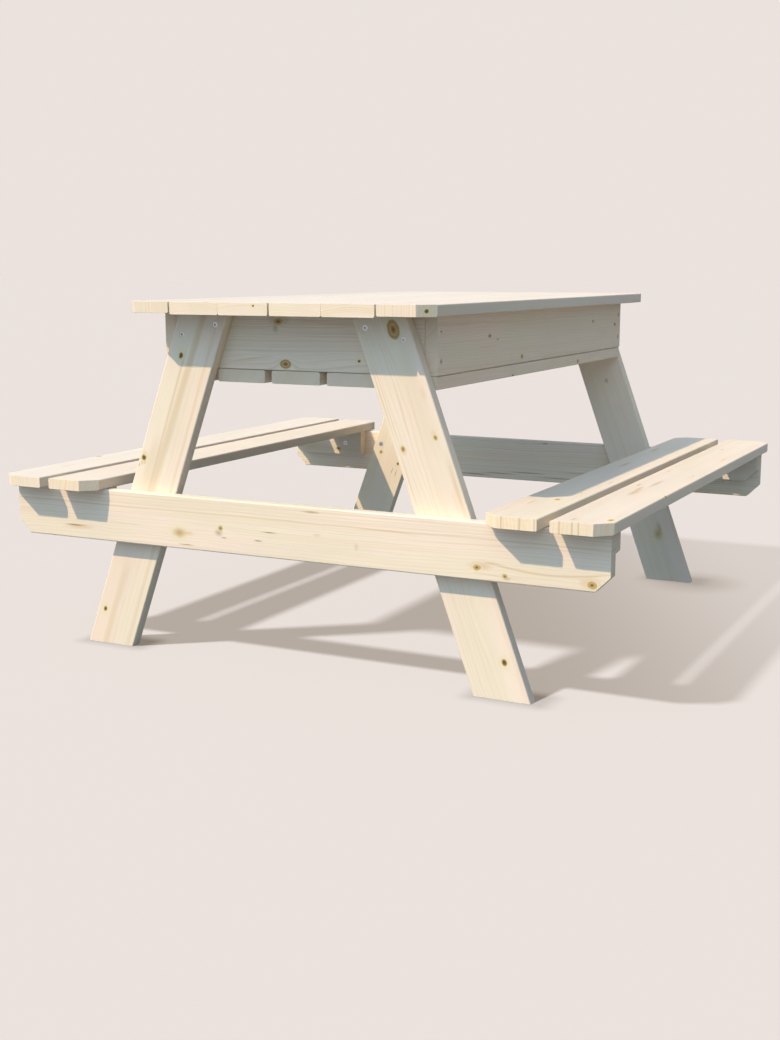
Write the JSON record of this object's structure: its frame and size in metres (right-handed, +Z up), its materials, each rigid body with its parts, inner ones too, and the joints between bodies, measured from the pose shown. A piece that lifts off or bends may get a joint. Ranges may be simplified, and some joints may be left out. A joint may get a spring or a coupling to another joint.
{
  "type": "kids picnic table",
  "caption": "Child-size softwood picnic table with splayed legs, slatted bench seats and a shallow play box under lift-off lids in the tabletop",
  "frame": {"origin": "on the floor under the middle of the table", "axes": "+X runs from the left seat to the right seat, +Y along the planks from the front end to the back end, +Z up"},
  "size_m": [0.9242, 0.894, 0.5],
  "materials": {
    "lid_boards": "planed bare spruce, sunlit cream",
    "top_planks": "planed bare spruce, cream with fine grain",
    "seat_planks": "planed bare spruce, cream with small knots",
    "legs": "planed bare spruce, honey stripes along the grain",
    "beams": "planed bare spruce, honey stripes and knots",
    "box_boards": "planed bare pine with round brown knots",
    "battens": "planed bare spruce, a little rougher",
    "zinc_screws": "zinc plated countersunk wood screws"
  },
  "bodies": {
    "table_frame": {"apron_back": "box_boards", "apron_front": "box_boards", "apron_left": "box_boards", "apron_right": "box_boards", "beam_back": "beams", "beam_front": "beams", "beam_screw_back_left_1": "zinc_screws", "beam_screw_back_left_2": "zinc_screws", "beam_screw_back_right_1": "zinc_screws", "beam_screw_back_right_2": "zinc_screws", "beam_screw_front_left_1": "zinc_screws", "beam_screw_front_left_2": "zinc_screws", "beam_screw_front_right_1": "zinc_screws", "beam_screw_front_right_2": "zinc_screws", "corner_screw_back_left_1": "zinc_screws", "corner_screw_back_left_2": "zinc_screws", "corner_screw_back_right_1": "zinc_screws", "corner_screw_back_right_2": "zinc_screws", "corner_screw_front_left_1": "zinc_screws", "corner_screw_front_left_2": "zinc_screws", "corner_screw_front_right_1": "zinc_screws", "corner_screw_front_right_2": "zinc_screws", "floor_board_1": "box_boards", "floor_board_2": "box_boards", "floor_board_3": "box_boards", "floor_board_4": "box_boards", "floor_board_5": "box_boards", "leg_back_left": "legs", "leg_back_right": "legs", "leg_front_left": "legs", "leg_front_right": "legs", "leg_screw_back_left_1": "zinc_screws", "leg_screw_back_left_2": "zinc_screws", "leg_screw_back_right_1": "zinc_screws", "leg_screw_back_right_2": "zinc_screws", "leg_screw_front_left_1": "zinc_screws", "leg_screw_front_left_2": "zinc_screws", "leg_screw_front_right_1": "zinc_screws", "leg_screw_front_right_2": "zinc_screws", "seat_batten_back_left": "battens", "seat_batten_back_right": "battens", "seat_batten_front_left": "battens", "seat_batten_front_right": "battens", "seat_left_inner_plank": "seat_planks", "seat_left_outer_plank": "seat_planks", "seat_right_inner_plank": "seat_planks", "seat_right_outer_plank": "seat_planks", "top_cleat_left": "battens", "top_cleat_right": "battens", "top_plank_left": "top_planks", "top_plank_right": "top_planks"},
    "lid_left": {"lid_left_back_batten": "battens", "lid_left_front_batten": "battens", "lid_left_inner_board": "lid_boards", "lid_left_outer_board": "lid_boards"},
    "lid_right": {"lid_right_back_batten": "battens", "lid_right_front_batten": "battens", "lid_right_inner_board": "lid_boards", "lid_right_outer_board": "lid_boards"}
  },
  "joints": [
    {"name": "lid_left_lift", "type": "slide", "parent": "table_frame", "child": "lid_left", "axis": [0, 0, 1], "range_m": [0, 0.12]},
    {"name": "lid_right_lift", "type": "slide", "parent": "table_frame", "child": "lid_right", "axis": [0, 0, 1], "range_m": [0, 0.12]}
  ]
}
